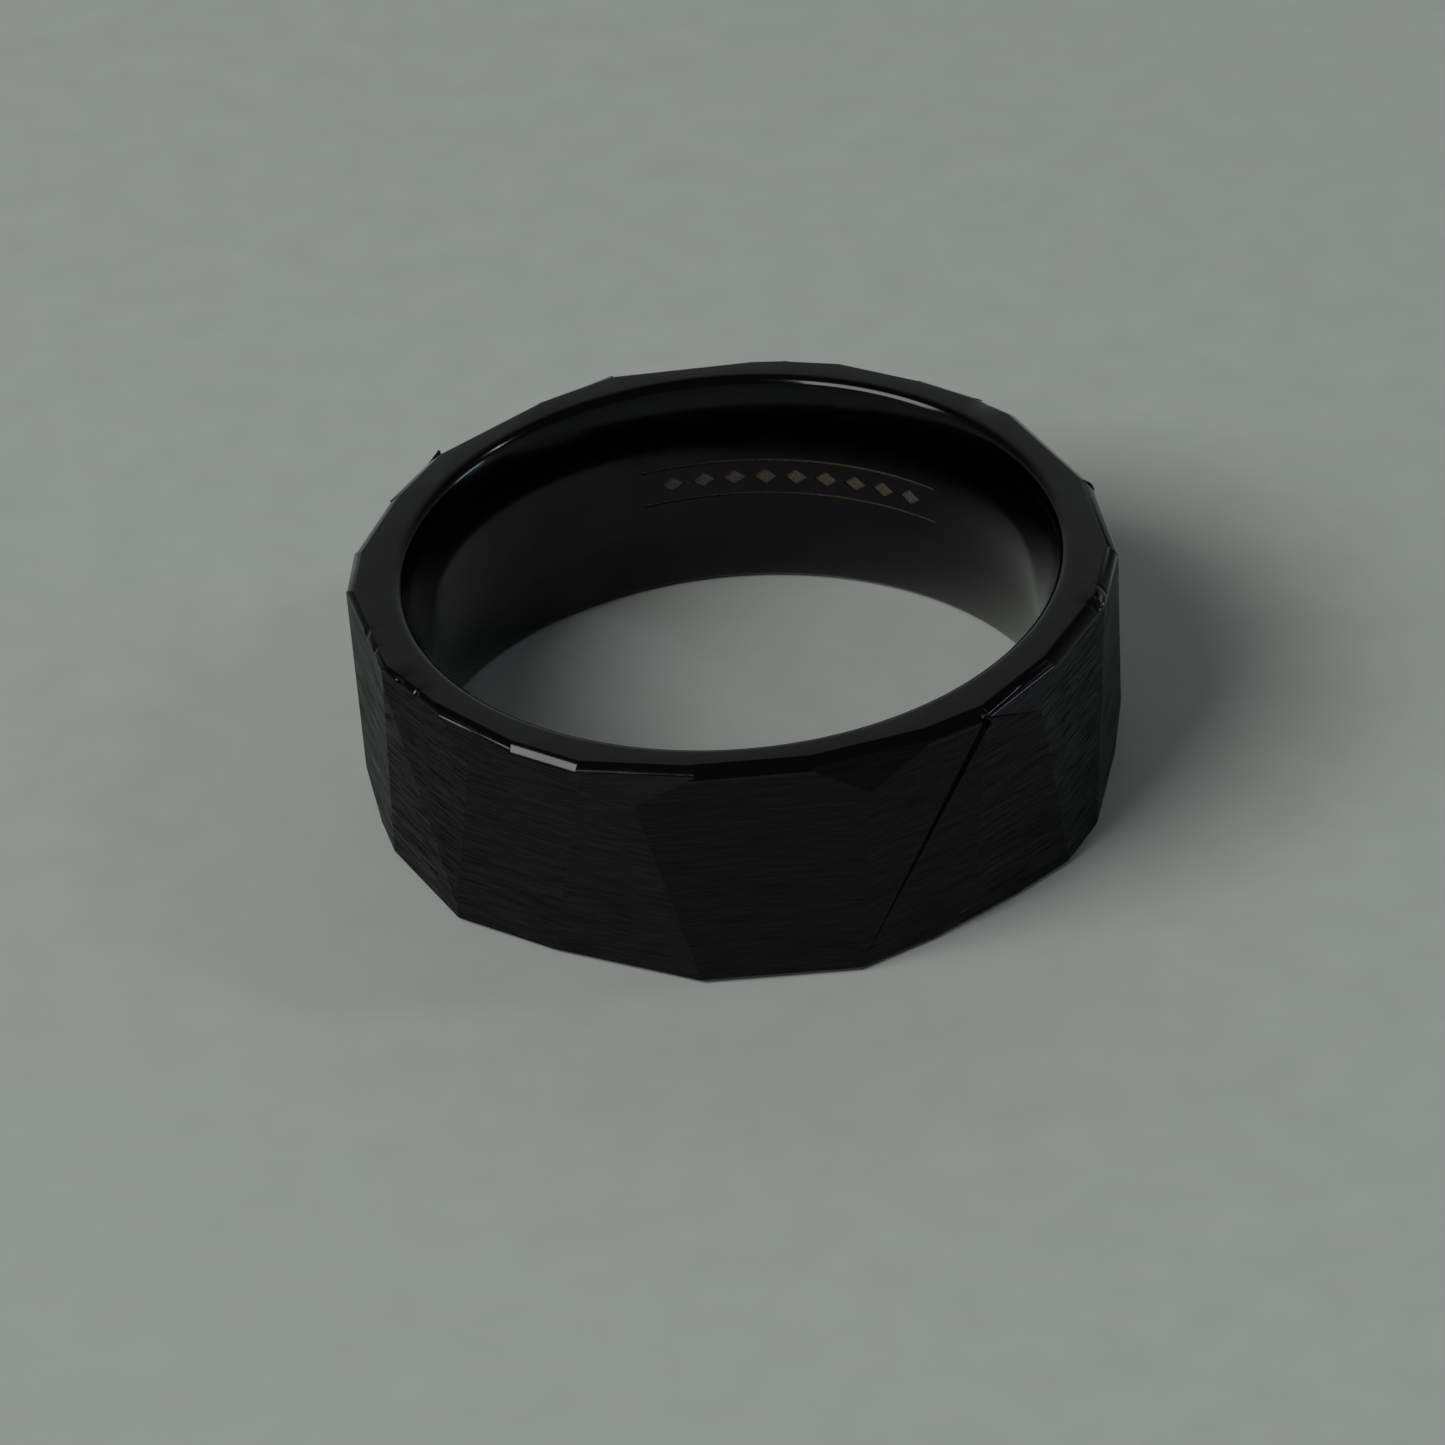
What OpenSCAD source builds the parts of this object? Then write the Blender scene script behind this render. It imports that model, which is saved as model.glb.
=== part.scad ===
// Black faceted wedding band: a sintered carbide ring under a black plated skin.
// Millimetres. The finger axis is +Z and the middle of the bore is the origin, so the
// band lies flat on its lower rim. Azimuths turn from -Y towards +X.

/* [Band] */
// Inside diameter at the narrowest place, 19.8 is US ring size 10
bore_d = 19.8; // [19.4:0.1:20.2]
// Width of the band from rim to rim
band_w = 8; // [7.6:0.1:8.4]
// Radius of the turned blank, just outside the ridges between the flats
blank_r = 12.4; // [12.4:0.05:12.8]

/* [Comfort fit] */
// Straight stretch in the middle of the bore
straight_w = 1.5; // [1:0.1:2.5]
// Radius of the dome that opens the bore towards each rim
dome_r = 8; // [7.5:0.5:12]
// Rounding where the dome meets the rim
inner_round = 0.4; // [0.3:0.05:0.5]
// Rounding of the blank's outer corner
outer_round = 0.3; // [0.15:0.05:0.4]

/* [Plating] */
// Thickness of the black skin, which is only a few thousandths on the real band
skin = 0.05; // [0.03:0.01:0.1]

/* [Laser garland] */
// Azimuth of the garland's middle
garland_az = 166; // [0:1:359]
// Height of the garland's middle above the band's middle
garland_z = 0.5; // [-0.5:0.1:0.6]
// Number of lozenges
lozenges = 9; // [3:2:15]
// Angle between neighbouring lozenges
lozenge_step = 6; // [5:0.5:8]
// Length of a lozenge round the bore
lozenge_l = 0.8; // [0.4:0.05:0.8]
// Height of a lozenge
lozenge_h = 0.6; // [0.4:0.05:0.8]
// Distance of each border line from the garland's middle
line_off = 0.65; // [0.5:0.05:0.7]
// Width of a border line
line_w = 0.1; // [0.08:0.02:0.16]

/* [Hidden] */
$fn = 96;

half_w = band_w / 2;
bore_r = bore_d / 2;
straight_half = straight_w / 2;
over = 1;           // how far a cutter reaches past what it cuts
flat_block = 30;    // side of the block that grinds one flat

// The inner rounding touches both the dome and the rim: its centre and the dome's slope there.
edge_z = half_w - inner_round;
edge_slope = asin((edge_z - straight_half) / (dome_r - inner_round));
edge_r = bore_r + dome_r - (dome_r - inner_round) * cos(edge_slope);

// The tall flats run from rim to rim, round the band, each [azimuth it faces, lean upwards in
// degrees, distance from the centre].
tall_flats = [
    [-96, 0, 12.2], [-76, 1, 12.0], [-62, -1, 12.0], [-56, 2, 12.0], [-34, -3, 11.8],
    [-26, -5, 11.8], [0, 1, 11.8], [28, -2, 12.0], [40, -3, 12.05], [60, 1, 12.1],
    [76, -2, 12.05], [96, 1, 12.1], [115, 2, 12.0], [133, -2, 11.9], [150, 1, 11.95],
    [166, -1, 11.9], [183, 2, 11.9], [200, -2, 11.95], [217, 1, 11.9], [233, -1, 12.05],
    [249, 2, 12.15]
];
// The small flats at the upper rim lie between two tall ones, each [azimuth it faces, lean
// upwards, distance from the axis at the rim].
upper_flats = [
    [-46, 15, 11.8], [-12, 25, 11.7], [15, 25, 11.7], [48, 15, 12.0], [106, 20, 12.0],
    [142, 20, 11.8], [174, 20, 11.8], [208, 20, 11.8], [240, 20, 11.9]
];
// The small flats at the lower rim, told the same way.
lower_flats = [
    [35, -15, 11.7], [88, -15, 11.9], [124, -20, 11.9], [158, -20, 11.8], [192, -20, 11.8],
    [225, -15, 11.8], [254, -20, 11.9], [272, -20, 11.9]
];
// A small flat's distance from the centre follows from where it meets the rim.
flats = concat(tall_flats, [
    for (flat = concat(upper_flats, lower_flats))
        [flat[0], flat[1], flat[2] * cos(flat[1]) + half_w * sin(abs(flat[1]))]
]);

// Every module with a depth draws its surface that far inside the finished one.

// Upper half of the wall's section, from the dome out to the blank's radius.
module wall_half(depth) {
    intersection() {
        translate([bore_r + depth, 0])
            square([blank_r - bore_r - 2 * depth, half_w - depth]);
        union() {
            translate([bore_r + depth, 0])
                square([blank_r, straight_half]);
            translate([bore_r + dome_r, straight_half])
                circle(r = dome_r - depth);
        }
    }
}

// What the inner rounding takes off the corner between dome and rim.
module inner_corner(depth) {
    translate([edge_r, edge_z])
        difference() {
            polygon([
                [0, 0],
                [0, over],
                [-2 * over, over],
                over * [-cos(edge_slope), sin(edge_slope)]
            ]);
            circle(r = inner_round - depth);
        }
}

// What the outer rounding takes off the blank's corner.
module outer_corner(depth) {
    translate([blank_r - outer_round, half_w - outer_round])
        difference() {
            square(outer_round + over);
            circle(r = outer_round - depth);
        }
}

module half_section(depth) {
    difference() {
        wall_half(depth);
        inner_corner(depth);
        outer_corner(depth);
    }
}

// The turned blank before grinding.
module blank(depth) {
    rotate_extrude() {
        half_section(depth);
        mirror([0, 1])
            half_section(depth);
    }
}

// The block that grinding one flat takes away.
module ground_away(flat, depth) {
    rotate([0, 0, flat[0] - 90])
        rotate([0, -flat[1], 0])
            translate([flat[2] - depth, -flat_block / 2, -flat_block / 2])
                cube(flat_block);
}

// The whole band with its flats.
module ground_band(depth) {
    difference() {
        blank(depth);
        for (flat = flats)
            ground_away(flat, depth);
    }
}

// One lozenge of the garland, a prism that stands through the skin.
module lozenge(az) {
    rotate([0, 0, az - 90])
        translate([bore_r - over, 0, garland_z])
            rotate([90, 0, 90])
                linear_extrude(2 * over)
                    polygon([
                        [lozenge_l / 2, 0],
                        [0, lozenge_h / 2],
                        [-lozenge_l / 2, 0],
                        [0, -lozenge_h / 2]
                    ]);
}

// One border line of the garland, a flat arc that stands through the skin.
module border_line(z) {
    span = lozenge_step * (lozenges + 1);
    rotate([0, 0, garland_az - 90 - span / 2])
        translate([0, 0, z - line_w / 2])
            rotate_extrude(angle = span)
                translate([bore_r - over, 0])
                    square([2 * over, line_w]);
}

// The garland that the laser burns through the skin, so that the carbide shows.
module laser_garland() {
    for (i = [0 : lozenges - 1])
        lozenge(garland_az + (i - (lozenges - 1) / 2) * lozenge_step);
    border_line(garland_z + line_off);
    border_line(garland_z - line_off);
}

module carbide_band() {
    color("dimgray")
        ground_band(skin);
}

module black_plating() {
    color("black")
        difference() {
            ground_band(0);
            ground_band(skin);
            laser_garland();
        }
}

carbide_band();
black_plating();
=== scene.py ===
import math
import random

import bmesh
import bpy
from mathutils import Matrix, Vector


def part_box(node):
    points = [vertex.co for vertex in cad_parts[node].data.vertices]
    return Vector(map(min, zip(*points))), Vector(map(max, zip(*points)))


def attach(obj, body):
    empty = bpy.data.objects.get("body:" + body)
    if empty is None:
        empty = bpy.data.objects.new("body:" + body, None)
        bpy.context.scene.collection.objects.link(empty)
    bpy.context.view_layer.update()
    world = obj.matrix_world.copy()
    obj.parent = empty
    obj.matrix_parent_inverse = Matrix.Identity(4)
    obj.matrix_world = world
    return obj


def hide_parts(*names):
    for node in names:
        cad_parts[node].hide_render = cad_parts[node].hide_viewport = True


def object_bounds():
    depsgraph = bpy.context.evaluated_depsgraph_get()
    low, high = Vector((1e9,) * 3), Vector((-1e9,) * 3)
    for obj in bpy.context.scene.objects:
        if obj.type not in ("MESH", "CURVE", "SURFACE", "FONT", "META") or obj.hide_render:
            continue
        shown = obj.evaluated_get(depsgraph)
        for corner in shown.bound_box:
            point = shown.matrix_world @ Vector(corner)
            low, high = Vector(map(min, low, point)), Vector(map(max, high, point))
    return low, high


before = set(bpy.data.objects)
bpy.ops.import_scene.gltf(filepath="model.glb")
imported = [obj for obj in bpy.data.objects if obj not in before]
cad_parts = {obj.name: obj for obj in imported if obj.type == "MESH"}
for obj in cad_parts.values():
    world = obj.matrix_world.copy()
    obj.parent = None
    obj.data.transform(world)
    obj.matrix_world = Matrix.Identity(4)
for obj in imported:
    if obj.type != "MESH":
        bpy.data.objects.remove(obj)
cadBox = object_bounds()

mm = 0.001
scene = bpy.context.scene


def toLinear(hexCode):
    # sRGB hex to the linear colour that the shaders take
    parts = [int(hexCode[i:i + 2], 16) / 255 for i in (1, 3, 5)]
    linear = [c / 12.92 if c <= 0.04045 else ((c + 0.055) / 1.055) ** 2.4 for c in parts]
    return (*linear, 1.0)


def addNode(tree, kind, inputs=None, **settings):
    # one node with its settings; an input is a plain value or the output of another node
    node = tree.nodes.new(kind)
    for name, value in settings.items():
        setattr(node, name, value)
    for name, value in (inputs or {}).items():
        socket = node.inputs[name]
        if isinstance(value, bpy.types.NodeSocket):
            tree.links.new(value, socket)
        else:
            socket.default_value = value
    return node


def newMaterial(name):
    material = bpy.data.materials.new(name)
    material.use_nodes = True
    material.node_tree.nodes.clear()
    return material, material.node_tree


def setStops(ramp, stops):
    # colour stops of a ramp, each (place, hex)
    elements = ramp.color_ramp.elements
    while len(elements) < len(stops):
        elements.new(0.5)
    for element, (place, hexCode) in zip(elements, stops):
        element.position = place
        element.color = toLinear(hexCode)


def facing(azimuth, lean=0.0):
    # unit vector at an azimuth from -Y towards +X, leaning up by some degrees
    a, t = math.radians(azimuth), math.radians(lean)
    return Vector((math.cos(t) * math.sin(a), -math.cos(t) * math.cos(a), math.sin(t)))


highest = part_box("black_plating")[1]

# the band, in mm
band = {
    "boreRadius": 9.9,       # narrowest radius of the bore
    "straightHalf": 0.75,    # half of the bore's straight stretch
    "halfWidth": highest.z / mm,
    "domeRadius": 8.0,       # comfort-fit dome
    "innerRound": 0.4,       # rounding between dome and rim
    "skin": 0.05,            # thickness of the plating
    "coreGap": 0.002,        # air between the plating and the carbide, so that they don't touch
    "lowerRimRound": 0.20,   # buffed edge between the lower rim and the flats
    "ridgeRound": 0.08,      # edge between two flats
    "blankSide": 60,         # the block that the rims and flats are cut from
    "shortest": 0.2,         # edges below this are merged away before rounding
    "leastOffset": 0.015,    # so that no rounding gets too thin to draw
    "widest": 0.5,           # width of a rounding whose weight is 1
    "roundSteps": 8,
    "roundProfile": 0.35,    # below 0.5 is flatter in the middle than an arc
    "domeSteps": 16,
    "innerSteps": 9,
    "wallFrom": 11.3,        # the outer flats all lie farther out than this
    "steepest": 0.6,         # and none faces up or down more than this
    "brushedFrom": 11.4,     # everything brushed lies farther out than this
    "sharpFrom": 50,         # degrees; an edge that turns more is drawn sharp
    "flatWeight": 100,       # how much a large face pulls the shading to its own direction
}

# how alike two directions (as a cosine), reaches in mm or areas in mm2 have to be
alike = {
    "sameFlat": 0.99995,
    "sameReach": 0.01,
    "onFlat": 0.99999,
    "level": 0.9999,
    "rimArea": 100,
    "roundMargin": 1.05,     # times the rim's rounding, still counted as rounded
}

# buffed edge between the upper rim and the flats, each (azimuth, radius)
rimRounds = [(-180, 0.42), (-100, 0.42), (-88, 0.20), (-52, 0.20), (-45, 0.34), (-20, 0.36),
             (-8, 0.42), (180, 0.42)]

# small chips in the upper outer edge, each (azimuth, half length, depth)
nicks = [
    (-77.0, 0.30, 0.050), (-72.0, 0.18, 0.035), (-62.5, 0.26, 0.045), (-58.0, 0.15, 0.035),
    (68.5, 0.20, 0.030), (73.5, 0.16, 0.030), (131.0, 0.20, 0.035),
]

# how the chips are pressed in
pressing = {
    "seed": 7,
    "cuts": 5,               # cuts on each side of a chip's middle
    "sideFrom": 8,           # the wall on the chip's side lies farther out than this
    "wallAt": 12,            # about where the wall is
    "uneven": (0.7, 1.3),
}

# the laser mark in the bore, in mm and degrees
garland = {
    "azimuth": 166.0,
    "height": 0.5,           # above the middle of the band
    "count": 9,
    "step": 6.0,             # degrees between lozenges
    "length": 0.8,
    "tall": 0.6,
    "lineOff": 0.65,
    "lineWidth": 0.1,
    "cells": 8,              # grid cells across a lozenge, even
    "spare": 4,              # grid columns from the outer lozenges to the ends of the lines
    "keepOff": 0.06,         # no other grid row comes nearer to the mark than this
    "slack": 0.01,
}

# degrees that half a lozenge and the whole mark take up
lozengeHalf = math.degrees(garland["length"] / 2 / band["boreRadius"])
garlandSpan = garland["step"] * (garland["count"] + 1)


def groundFlats():
    # the ground flats of the CAD plating, each [outward direction, distance], in mm
    flats = []
    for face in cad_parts["black_plating"].data.polygons:
        normal, reach = face.normal.copy(), face.normal.dot(face.center) / mm
        if reach < band["wallFrom"] or abs(normal.z) > band["steepest"]:
            continue
        for flat in flats:
            if flat[0].dot(normal) > alike["sameFlat"] and abs(flat[1] - reach) < alike["sameReach"]:
                if face.area > flat[2]:
                    flat[:] = [normal, reach, face.area]
                break
        else:
            flats.append([normal, reach, face.area])
    return [(normal.normalized(), reach) for normal, reach, area in flats]


flats = groundFlats()
print("flats found on the plating:", len(flats))


def rimRoundAt(point):
    # the left front was buffed less than the rest
    if point.z < 0:
        return band["lowerRimRound"]
    azimuth = math.degrees(math.atan2(point.x, -point.y))
    for (start, first), (end, second) in zip(rimRounds, rimRounds[1:]):
        if azimuth <= end:
            return first + (second - first) * (azimuth - start) / (end - start)
    return rimRounds[-1][1]


def outerBody(depth):
    # the solid between the rims and inside all flats, with rounded edges, as a mesh in mm
    bm = bmesh.new()
    bmesh.ops.create_cube(bm, size=band["blankSide"])
    rims = [(Vector((0, 0, 1)), band["halfWidth"]), (Vector((0, 0, -1)), band["halfWidth"])]
    for normal, reach in rims + flats:
        everything = bm.verts[:] + bm.edges[:] + bm.faces[:]
        cut = bmesh.ops.bisect_plane(
            bm, geom=everything, dist=1e-5, plane_co=normal * (reach - depth),
            plane_no=normal, clear_outer=True)
        edges = [e for e in cut["geom_cut"] if isinstance(e, bmesh.types.BMEdge)]
        if edges:
            bmesh.ops.contextual_create(bm, geom=edges)
    bmesh.ops.remove_doubles(bm, verts=bm.verts[:], dist=band["shortest"])
    bm.normal_update()
    weights = bm.edges.layers.float.new("bevel_weight_edge")
    for edge in bm.edges:
        middle = (edge.verts[0].co + edge.verts[1].co) / 2
        onRim = any(abs(f.normal.z) > alike["level"] for f in edge.link_faces)
        radius = (rimRoundAt(middle) if onRim else band["ridgeRound"]) - depth
        turn = edge.calc_face_angle(0)
        edge[weights] = max(band["leastOffset"], radius * math.tan(turn / 2)) / band["widest"]
    mesh = bpy.data.meshes.new("outerBody")
    bm.to_mesh(mesh)
    bm.free()
    body = bpy.data.objects.new("outerBody", mesh)
    scene.collection.objects.link(body)
    rounding = body.modifiers.new("rounding", "BEVEL")
    rounding.limit_method = "WEIGHT"
    rounding.width = band["widest"]
    rounding.segments = band["roundSteps"]
    rounding.profile = band["roundProfile"]
    rounding.use_clamp_overlap = False
    rounded = bpy.data.meshes.new_from_object(
        body.evaluated_get(bpy.context.evaluated_depsgraph_get()))
    bpy.data.objects.remove(body)
    addNicks(rounded)
    return rounded


def addNicks(mesh):
    # presses the chips into the rounding of the upper rim
    chance = random.Random(pressing["seed"])
    bm = bmesh.new()
    bm.from_mesh(mesh)
    top = band["halfWidth"] - 0.001
    low = band["halfWidth"] - max(radius for azimuth, radius in rimRounds)
    for azimuth, half, depth in nicks:
        outward, along = facing(azimuth), facing(azimuth + 90)
        for k in range(-pressing["cuts"], pressing["cuts"] + 1):
            near = [f for f in bm.faces
                    if f.calc_center_median().dot(outward) > pressing["sideFrom"]
                    and low < f.calc_center_median().z < top]
            parts = set(near)
            parts |= {e for f in near for e in f.edges}
            parts |= {v for f in near for v in f.verts}
            place = outward * pressing["wallAt"] + along * half * k / pressing["cuts"]
            bmesh.ops.bisect_plane(bm, geom=list(parts), dist=1e-5, plane_co=place,
                                   plane_no=along)
        for vert in bm.verts:
            reach = vert.co.dot(along) / half
            across = (band["halfWidth"] - vert.co.z) / rimRoundAt(vert.co)
            onSide = vert.co.dot(outward) > pressing["sideFrom"]
            if onSide and abs(reach) < 1 and 0 < across < 1:
                share = (1 - reach ** 2) ** 2 * math.sin(math.pi * across)
                share *= chance.uniform(*pressing["uneven"])
                vert.co -= (outward + Vector((0, 0, 1))) * depth * share / math.sqrt(2)
    bm.to_mesh(mesh)
    bm.free()


edgeHeight = band["halfWidth"] - band["innerRound"]
domeReach = band["domeRadius"] - band["innerRound"]
edgeSlope = math.asin((edgeHeight - band["straightHalf"]) / domeReach)
domeCentre = band["boreRadius"] + band["domeRadius"]
edgeRadius = domeCentre - domeReach * math.cos(edgeSlope)


def boreRow(height):
    # one row of the bore as an arc: centre radius, centre height, arc radius, angle on it
    beyond = abs(height) - band["straightHalf"]
    if beyond <= 0:
        return (domeCentre, height, band["domeRadius"], 0.0)
    side = math.copysign(1, height)
    angle = side * math.asin(beyond / band["domeRadius"])
    return (domeCentre, side * band["straightHalf"], band["domeRadius"], angle)


def garlandHeights():
    middle, off, halfLine = garland["height"], garland["lineOff"], garland["lineWidth"] / 2
    lines = [middle + side * off + end * halfLine for side in (-1, 1) for end in (-1, 1)]
    lozenge = [middle + garland["tall"] * (i / garland["cells"] - 0.5)
               for i in range(garland["cells"] + 1)]
    return sorted(lines + lozenge)


def boreRows():
    # all rows from the lower rim to the upper one
    plain = [0.0]
    for k in range(band["domeSteps"]):
        angle = edgeSlope * k / band["domeSteps"]
        height = band["straightHalf"] + band["domeRadius"] * math.sin(angle)
        plain += [height, -height]
    marked = garlandHeights()
    bottom, top = marked[0] - garland["keepOff"], marked[-1] + garland["keepOff"]
    heights = [z for z in plain if not bottom < z < top] + marked
    rows = [boreRow(z) for z in sorted(heights)]
    quarter = math.pi / 2
    for k in range(band["innerSteps"] + 1):
        angle = edgeSlope + (quarter - edgeSlope) * k / band["innerSteps"]
        rows.append((edgeRadius, edgeHeight, band["innerRound"], angle))
        rows.insert(0, (edgeRadius, -edgeHeight, band["innerRound"], -angle))
    return rows


def boreColumns():
    # azimuths round the bore, with the garland's own columns among even ones
    cells, spare = garland["cells"], garland["spare"]
    start, end = garland["azimuth"] - garlandSpan / 2, garland["azimuth"] + garlandSpan / 2
    columns = []
    for k in range(garland["count"]):
        middle = garland["azimuth"] + (k - (garland["count"] - 1) / 2) * garland["step"]
        columns += [middle + lozengeHalf * (2 * i / cells - 1) for i in range(cells + 1)]
    before = [start + (columns[0] - start) * i / spare for i in range(spare)]
    after = [end + (columns[-1] - end) * i / spare for i in range(spare)][::-1]
    columns = before + columns + after
    rest = round(360 - garlandSpan)
    return columns + [end + i for i in range(1, rest)]


rows, columns = boreRows(), boreColumns()
rowHeights = [height + radius * math.sin(angle) for centre, height, radius, angle in rows]


def lozengePlace(column, row):
    # steps along the grid from the middle of the nearest lozenge, or None away from the garland
    turn = (columns[column] - garland["azimuth"]) / garland["step"] + (garland["count"] - 1) / 2
    if not -0.5 < turn < garland["count"] - 0.5:
        return None
    across = (turn - round(turn)) * garland["step"] / lozengeHalf * garland["cells"] / 2
    up = (rowHeights[row] - garland["height"]) / garland["tall"] * garland["cells"]
    return across, up


def onBorderLine(column, row):
    # true where the cell that starts here lies in one of the two border lines
    z = (rowHeights[row] + rowHeights[row + 1]) / 2 - garland["height"]
    slack, end = garland["slack"], garlandSpan / 2
    here = columns[column] - garland["azimuth"]
    following = columns[(column + 1) % len(columns)] - garland["azimuth"]
    inSpan = here < end - slack and following < end + slack
    return inSpan and abs(abs(z) - garland["lineOff"]) < garland["lineWidth"] / 2


def solidCorners(column, row):
    # the corners, as (column, row), of what the laser leaves of one cell of the grid
    following = (column + 1) % len(columns)
    corners = [(column, row), (following, row), (following, row + 1), (column, row + 1)]
    if onBorderLine(column, row):
        return []
    places = [lozengePlace(c, r) for c, r in corners]
    if None in places:
        return corners
    # steps from each corner to the lozenge's edge, 0 on it and below 0 inside
    reach, slack = garland["cells"] / 2, garland["slack"]
    out = [abs(a) + abs(b) - reach for a, b in places]
    if max(abs(a) for a, b in places) > reach + slack or min(out) > 0.5:
        return corners
    if max(out) < slack:
        return []
    if max(out) > 1.5 or sum(o > 0.5 for o in out) != 1:
        return corners
    k = [o > 0.5 for o in out].index(True)
    return [corners[k - 1], corners[k], corners[(k + 1) % 4]]


def addSurface(bm, depth, opened):
    # outer flats, rims and bore, lying at some depth inside the finished surface
    body = outerBody(depth)
    before = set(bm.faces)
    bm.from_mesh(body)
    bpy.data.meshes.remove(body)
    bm.normal_update()
    rimFaces = [f for f in bm.faces if f not in before
                and abs(f.normal.z) > alike["level"] and f.calc_area() > alike["rimArea"]]
    rimEdges = {True: [], False: []}
    for face in rimFaces:
        rimEdges[face.normal.z > 0] += face.edges[:]
    bmesh.ops.delete(bm, geom=rimFaces, context="FACES_ONLY")
    grid = {}
    for c, azimuth in enumerate(columns):
        outward = facing(azimuth)
        for r, (centreR, centreZ, radius, angle) in enumerate(rows):
            reach = centreR - (radius - depth) * math.cos(angle)
            height = centreZ + (radius - depth) * math.sin(angle)
            grid[c, r] = bm.verts.new(outward * reach + Vector((0, 0, height)))
    for c in range(len(columns)):
        for r in range(len(rows) - 1):
            following = (c + 1) % len(columns)
            corners = [(c, r), (following, r), (following, r + 1), (c, r + 1)]
            if opened:
                corners = solidCorners(c, r)
            if corners:
                bm.faces.new([grid[k] for k in corners])
    for top in (False, True):
        r = len(rows) - 1 if top else 0
        circle = [bm.edges.get((grid[c, r], grid[(c + 1) % len(columns), r]))
                  for c in range(len(columns))]
        bmesh.ops.triangle_fill(bm, use_beauty=True, edges=rimEdges[top] + circle,
                                normal=(0, 0, 1 if top else -1))
    return grid


def addOpeningWalls(bm, front, back):
    # the plating's cut edge round every opening of the garland
    place = {vert: key for key, vert in front.items()}
    last = len(rows) - 1
    for edge in [e for e in bm.edges if len(e.link_faces) == 1]:
        keys = [place.get(v) for v in edge.verts]
        if None in keys or {keys[0][1], keys[1][1]} & {0, last}:
            continue
        a, b = keys
        bm.faces.new([front[a], front[b], back[b], back[a]])


def finishMesh(bm, name):
    bmesh.ops.delete(bm, geom=[v for v in bm.verts if not v.link_faces], context="VERTS")
    bmesh.ops.recalc_face_normals(bm, faces=bm.faces[:])
    for face in bm.faces:
        face.smooth = True
    sharpFrom = math.radians(band["sharpFrom"])
    for edge in bm.edges:
        edge.smooth = len(edge.link_faces) == 2 and edge.calc_face_angle(0) < sharpFrom
    bmesh.ops.scale(bm, vec=(mm, mm, mm), verts=bm.verts[:])
    mesh = bpy.data.meshes.new(name)
    bm.to_mesh(mesh)
    bm.free()
    piece = bpy.data.objects.new(name, mesh)
    scene.collection.objects.link(piece)
    normals = piece.modifiers.new("flatNormals", "WEIGHTED_NORMAL")
    normals.keep_sharp = True
    normals.weight = band["flatWeight"]
    return piece


def makePlating():
    bm = bmesh.new()
    front = addSurface(bm, 0.0, opened=True)
    back = addSurface(bm, band["skin"], opened=True)
    addOpeningWalls(bm, front, back)
    return finishMesh(bm, "plating_skin")


def makeCore():
    bm = bmesh.new()
    addSurface(bm, band["skin"] + band["coreGap"], opened=False)
    return finishMesh(bm, "carbide_core")


plating = makePlating()
print("plating faces:", len(plating.data.polygons))
core = makeCore()
print("core faces:", len(core.data.polygons))


brushedSlot, polishedSlot = 0, 1


def markFinishes(mesh):
    # flats are brushed; rims, bore and the buffed edges are polished.
    # grain: mm along the strokes, mm across them, number of the flat
    grain = mesh.attributes.new("grain", "FLOAT_VECTOR", "CORNER")
    for face in mesh.polygons:
        centre = face.center / mm
        onOuter = centre.xy.length > band["brushedFrom"]
        nearest = max(range(len(flats)), key=lambda k: flats[k][0].dot(face.normal))
        normal, reach = flats[nearest]
        exact = normal.dot(face.normal) > alike["onFlat"]
        rounded = rimRoundAt(centre) * alike["roundMargin"]
        inRimRound = abs(centre.z) > band["halfWidth"] - rounded
        upright = abs(face.normal.z) < band["steepest"]
        brushed = onOuter and upright and (exact or not inRimRound)
        face.material_index = brushedSlot if brushed else polishedSlot
        along = Vector((-normal.y, normal.x, 0)).normalized()
        across = normal.cross(along)
        for corner in face.loop_indices:
            point = mesh.vertices[mesh.loops[corner].vertex_index].co / mm
            grain.data[corner].vector = (along.dot(point), across.dot(point), nearest)


markFinishes(plating.data)


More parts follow.
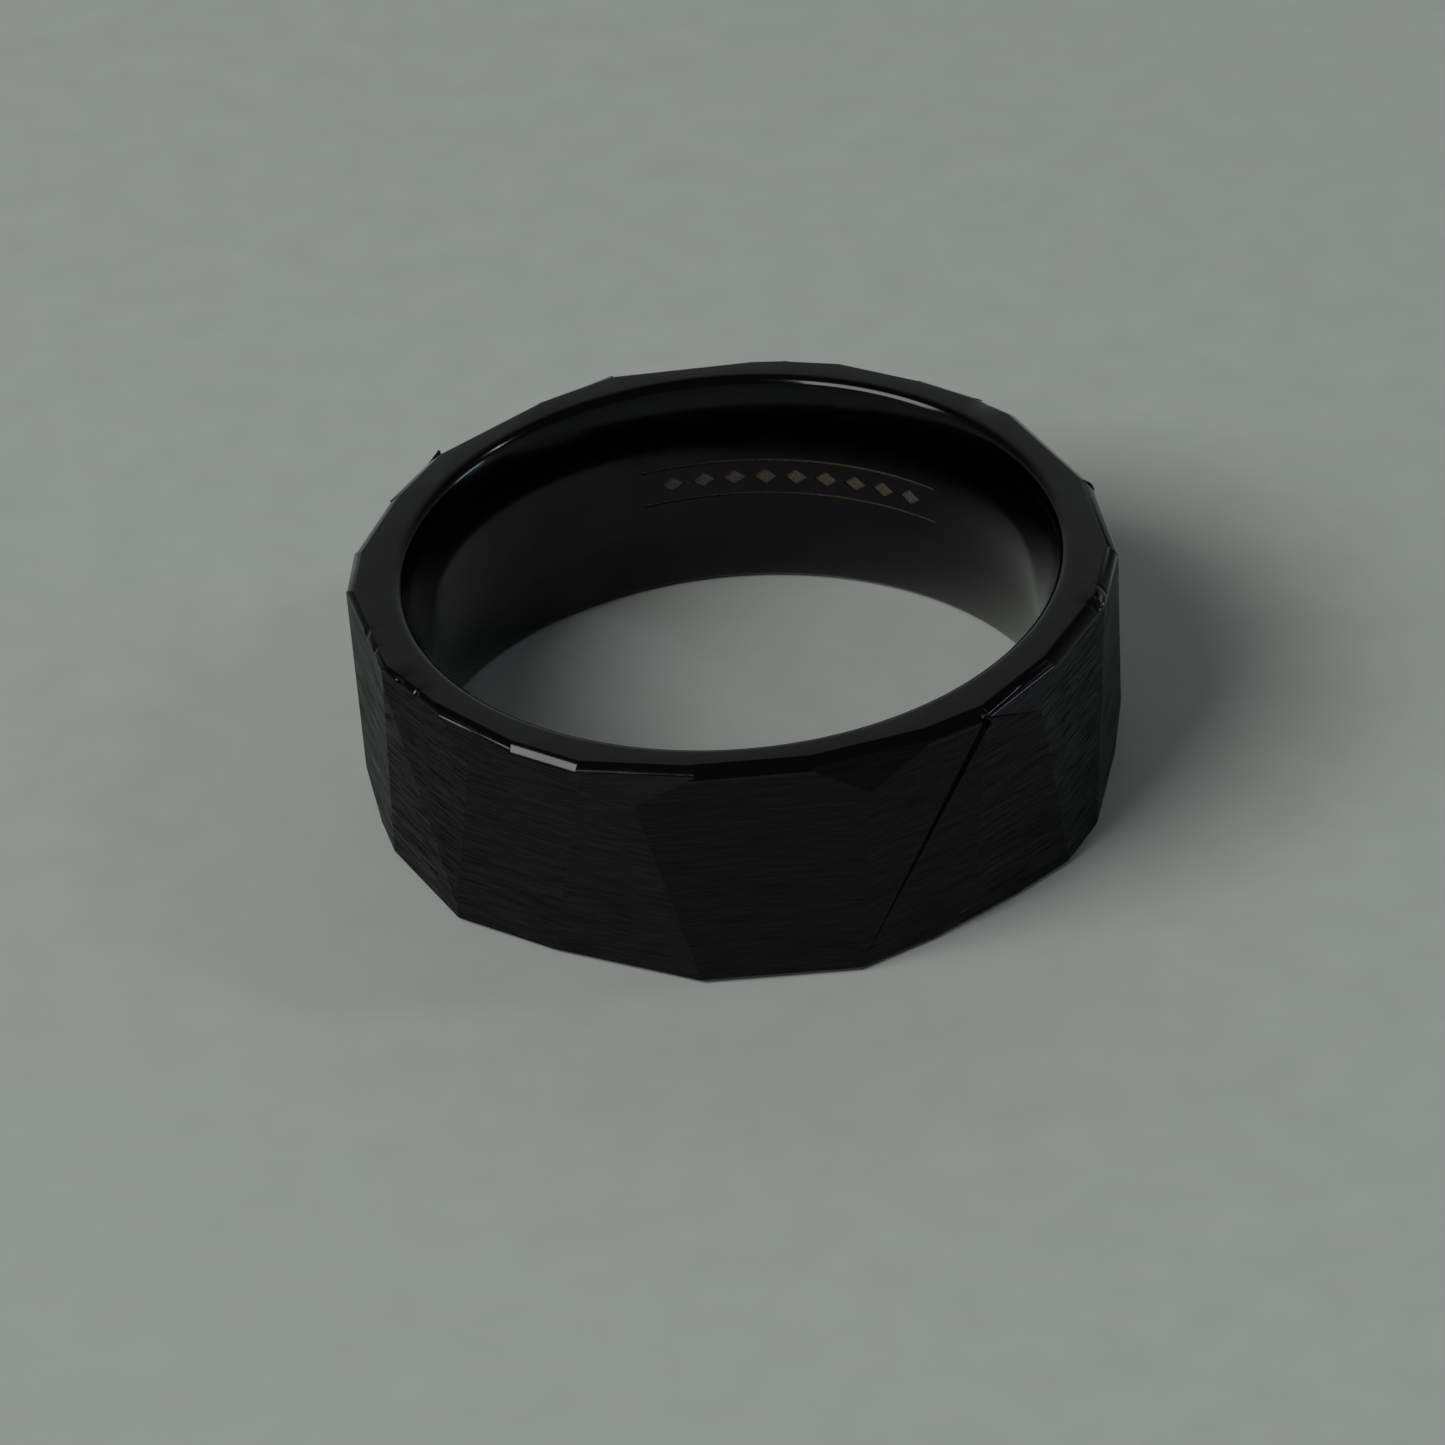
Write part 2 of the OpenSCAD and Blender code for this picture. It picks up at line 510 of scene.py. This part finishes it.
def brushedPlating():
    # black ion-plated tungsten carbide, ground then belt-brushed round the finger axis:
    # dark satin flats with fine level strokes
    material, tree = newMaterial("black_ion_plating_belt_brushed")
    grain = addNode(tree, "ShaderNodeAttribute", attribute_name="grain")
    # strokes lie about 0.08 mm apart and run 1 to 2 mm
    strokeVector = addNode(tree, "ShaderNodeVectorMath", operation="MULTIPLY", inputs={
        0: grain.outputs["Vector"], 1: (0.7, 13.0, 5.3)})
    strokes = addNode(tree, "ShaderNodeTexNoise", inputs={
        "Vector": strokeVector.outputs[0], "Scale": 1.0, "Detail": 4.0, "Roughness": 0.65})
    # the belt's wider bands, about 0.5 mm
    bandVector = addNode(tree, "ShaderNodeVectorMath", operation="MULTIPLY", inputs={
        0: grain.outputs["Vector"], 1: (0.25, 2.0, 3.1)})
    bands = addNode(tree, "ShaderNodeTexNoise", inputs={
        "Vector": bandVector.outputs[0], "Scale": 1.0, "Detail": 2.0, "Roughness": 0.5})
    tone = addNode(tree, "ShaderNodeValToRGB", inputs={"Fac": strokes.outputs["Fac"]})
    setStops(tone, [(0.3, "#20201f"), (0.7, "#2d2d2d")])
    # at a flat angle the strokes show as bright and dark lines
    sheen = addNode(tree, "ShaderNodeValToRGB", inputs={"Fac": strokes.outputs["Fac"]})
    setStops(sheen, [(0.35, "#b0b0b0"), (0.65, "#fafafa")])
    rough = addNode(tree, "ShaderNodeMapRange", inputs={
        "Value": bands.outputs["Fac"], "From Min": 0.3, "From Max": 0.7,
        "To Min": 0.34, "To Max": 0.44})
    relief = addNode(tree, "ShaderNodeBump", inputs={
        "Strength": 0.5, "Distance": 0.004 * mm, "Height": strokes.outputs["Fac"]})
    tangent = addNode(tree, "ShaderNodeTangent", direction_type="RADIAL", axis="Z")
    metal = addNode(tree, "ShaderNodeBsdfPrincipled", inputs={
        "Base Color": tone.outputs["Color"], "Metallic": 1.0,
        "Specular Tint": sheen.outputs["Color"], "Roughness": rough.outputs["Result"],
        "Anisotropic": 0.7, "Anisotropic Rotation": 0.25, "Tangent": tangent.outputs[0],
        "Normal": relief.outputs["Normal"]})
    addNode(tree, "ShaderNodeOutputMaterial", inputs={"Surface": metal.outputs[0]})
    return material


def polishedPlating():
    # the same plating over diamond-polished carbide: glossy black, with faint turned lines
    material, tree = newMaterial("black_ion_plating_polished")
    place = addNode(tree, "ShaderNodeTexCoord")
    split = addNode(tree, "ShaderNodeSeparateXYZ", inputs={0: place.outputs["Object"]})
    flatPlace = addNode(tree, "ShaderNodeCombineXYZ", inputs={
        "X": split.outputs["X"], "Y": split.outputs["Y"]})
    radius = addNode(tree, "ShaderNodeVectorMath", operation="LENGTH", inputs={
        0: flatPlace.outputs[0]})
    climb = addNode(tree, "ShaderNodeMath", operation="ADD", inputs={
        0: split.outputs["Z"], 1: radius.outputs["Value"]})
    # lines 0.08 mm apart round the axis, 3 mm long
    turned = addNode(tree, "ShaderNodeCombineXYZ", inputs={
        "X": split.outputs["X"], "Y": split.outputs["Y"], "Z": climb.outputs[0]})
    scaled = addNode(tree, "ShaderNodeVectorMath", operation="MULTIPLY", inputs={
        0: turned.outputs[0], 1: (0.3 / mm, 0.3 / mm, 12 / mm)})
    lines = addNode(tree, "ShaderNodeTexNoise", inputs={
        "Vector": scaled.outputs[0], "Scale": 1.0, "Detail": 3.0, "Roughness": 0.6})
    cloud = addNode(tree, "ShaderNodeTexNoise", inputs={
        "Vector": place.outputs["Object"], "Scale": 0.4 / mm, "Detail": 2.0})
    tone = addNode(tree, "ShaderNodeValToRGB", inputs={"Fac": cloud.outputs["Fac"]})
    setStops(tone, [(0.35, "#2d2d2d"), (0.65, "#323231")])
    rough = addNode(tree, "ShaderNodeMapRange", inputs={
        "Value": lines.outputs["Fac"], "From Min": 0.3, "From Max": 0.7,
        "To Min": 0.09, "To Max": 0.15})
    relief = addNode(tree, "ShaderNodeBump", inputs={
        "Strength": 0.15, "Distance": 0.001 * mm, "Height": lines.outputs["Fac"]})
    metal = addNode(tree, "ShaderNodeBsdfPrincipled", inputs={
        "Base Color": tone.outputs["Color"], "Metallic": 1.0,
        "Roughness": rough.outputs["Result"], "Normal": relief.outputs["Normal"]})
    addNode(tree, "ShaderNodeOutputMaterial", inputs={"Surface": metal.outputs[0]})
    return material


def laserCarbide():
    # sintered tungsten carbide that the laser has bared: dull warm grey, finely pitted
    material, tree = newMaterial("tungsten_carbide_laser_burnt")
    place = addNode(tree, "ShaderNodeTexCoord")
    # pits about 0.07 mm across
    pits = addNode(tree, "ShaderNodeTexNoise", inputs={
        "Vector": place.outputs["Object"], "Scale": 14 / mm, "Detail": 3.0, "Roughness": 0.7})
    tone = addNode(tree, "ShaderNodeValToRGB", inputs={"Fac": pits.outputs["Fac"]})
    setStops(tone, [(0.3, "#59534a"), (0.7, "#8b8375")])
    relief = addNode(tree, "ShaderNodeBump", inputs={
        "Strength": 0.6, "Distance": 0.006 * mm, "Height": pits.outputs["Fac"]})
    metal = addNode(tree, "ShaderNodeBsdfPrincipled", inputs={
        "Base Color": tone.outputs["Color"], "Metallic": 1.0, "Roughness": 0.65,
        "Normal": relief.outputs["Normal"]})
    addNode(tree, "ShaderNodeOutputMaterial", inputs={"Surface": metal.outputs[0]})
    return material


plating.data.materials.append(brushedPlating())
plating.data.materials.append(polishedPlating())
core.data.materials.append(laserCarbide())
print("materials done")


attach(plating, "root")
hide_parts("black_plating")
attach(core, "root")
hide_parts("carbide_band")


def matteFloor():
    # matt painted board, plain pale grey
    material, tree = newMaterial("matt_painted_board")
    place = addNode(tree, "ShaderNodeTexCoord")
    # roller texture, about 2 mm
    texture = addNode(tree, "ShaderNodeTexNoise", inputs={
        "Vector": place.outputs["Object"], "Scale": 0.5 / mm, "Detail": 2.0})
    tone = addNode(tree, "ShaderNodeValToRGB", inputs={"Fac": texture.outputs["Fac"]})
    setStops(tone, [(0.3, "#bcc1bc"), (0.7, "#c0c5c0")])
    paint = addNode(tree, "ShaderNodeBsdfPrincipled", inputs={
        "Base Color": tone.outputs["Color"], "Roughness": 0.9, "IOR": 1.5,
        "Specular IOR Level": 0.2})
    addNode(tree, "ShaderNodeOutputMaterial", inputs={"Surface": paint.outputs[0]})
    return material


board = {
    "radius": 1.5,           # m
    "segments": 96,
}


def makeFloor():
    bm = bmesh.new()
    bmesh.ops.create_circle(bm, cap_ends=True, segments=board["segments"], radius=board["radius"])
    mesh = bpy.data.meshes.new("floor")
    bm.to_mesh(mesh)
    bm.free()
    floor = bpy.data.objects.new("floor", mesh)
    floor.location.z = cadBox[0].z
    scene.collection.objects.link(floor)
    mesh.materials.append(matteFloor())


makeFloor()


# the main light, over the left front
softbox = {
    "towards": (-0.64, -0.37, 0.66),
    "longSide": (-0.48, 0.46, -0.19),
    "distance": 0.90,
    "size": (0.64, 0.43),
    "power": 5.2,
    "colour": "#ffffff",
}

# small and high on the right
stripLight = {
    "towards": (0.77, 0.01, 0.64),
    "longSide": (0.24, -0.25, -0.18),
    "distance": 0.60,
    "size": (0.12, 0.03),
    "power": 0.16,
    "colour": "#eaf4ff",
}

# low on the right, it picks out the leaning flats on that side
lowWindow = {
    "towards": (0.99, 0.05, 0.14),
    "longSide": (0.0, 1.0, 0.0),
    "distance": 0.90,
    "size": (0.20, 0.12),
    "power": 0.45,
    "colour": "#d8f0ff",
}


def addLight(name, plan):
    # area light that looks at the band from its direction, its long side along longSide
    lamp = bpy.data.lights.new(name, "AREA")
    lamp.shape = "RECTANGLE"
    lamp.size, lamp.size_y = plan["size"]
    lamp.energy = plan["power"]
    lamp.color = toLinear(plan["colour"])[:3]
    holder = bpy.data.objects.new(name, lamp)
    back = Vector(plan["towards"]).normalized()
    side = Vector(plan["longSide"])
    side = (side - back * side.dot(back)).normalized()
    turn = Matrix((side, back.cross(side), back)).transposed()
    holder.matrix_world = Matrix.Translation(back * plan["distance"]) @ turn.to_4x4()
    scene.collection.objects.link(holder)


addLight("softbox", softbox)
addLight("stripLight", stripLight)
addLight("lowWindow", lowWindow)


def makeWorld():
    # dim room: a pale wall behind the table, dark overhead, paler low down all round
    world = bpy.data.worlds.new("room")
    scene.world = world
    world.use_nodes = True
    tree = world.node_tree
    tree.nodes.clear()
    place = addNode(tree, "ShaderNodeTexCoord")
    behind = addNode(tree, "ShaderNodeVectorMath", operation="DOT_PRODUCT", inputs={
        0: place.outputs["Generated"], 1: (0.0, 0.95, 0.3)})
    tone = addNode(tree, "ShaderNodeValToRGB", inputs={"Fac": behind.outputs["Value"]})
    setStops(tone, [(0.6, "#202121"), (0.92, "#9aa09c")])
    split = addNode(tree, "ShaderNodeSeparateXYZ", inputs={0: place.outputs["Generated"]})
    skirting = addNode(tree, "ShaderNodeValToRGB", inputs={"Fac": split.outputs["Z"]})
    setStops(skirting, [(0.0, "#84898a"), (0.45, "#454746")])
    whole = addNode(tree, "ShaderNodeMix", data_type="RGBA", blend_type="LIGHTEN", inputs={
        "Factor": 1.0, 6: tone.outputs["Color"], 7: skirting.outputs["Color"]})
    room = addNode(tree, "ShaderNodeBackground", inputs={
        "Color": whole.outputs[2], "Strength": 1.0})
    addNode(tree, "ShaderNodeOutputWorld", inputs={"Surface": room.outputs[0]})


makeWorld()


view = {
    "lens": 142,         # mm
    "sensor": 36.0,      # mm across
    "height": 34.5,      # degrees above the table
    "roll": 4.6,         # degrees, the right side is the higher one
    "distance": 183.5,   # mm from the middle of the bore
    "bandRight": 0.16,   # degrees from the optical axis to the middle of the bore
    "bandUp": 0.66,
    "clipStart": 0.01,   # m
}


def makeCamera():
    height, roll = math.radians(view["height"]), math.radians(view["roll"])
    ahead = Vector((0, math.cos(height), -math.sin(height)))
    right = Vector((1, 0, 0))
    up = Vector((0, math.sin(height), math.cos(height)))
    sight = Vector((math.tan(math.radians(view["bandRight"])),
                    math.tan(math.radians(view["bandUp"])), 1)).normalized()
    swing = Vector((0, 0, 1)).rotation_difference(sight).to_matrix()
    tilt = Matrix.Rotation(roll, 3, "Z")
    axes = swing @ tilt @ Matrix((right, up, ahead))
    turn = Matrix((axes[0], axes[1], -axes[2])).transposed()
    lens = bpy.data.cameras.new("camera")
    lens.lens = view["lens"]
    lens.sensor_width = view["sensor"]
    lens.clip_start = view["clipStart"]
    camera = bpy.data.objects.new("camera", lens)
    camera.matrix_world = Matrix.Translation(-ahead * view["distance"] * mm) @ turn.to_4x4()
    scene.collection.objects.link(camera)
    scene.camera = camera


makeCamera()
scene.view_settings.view_transform = "Standard"
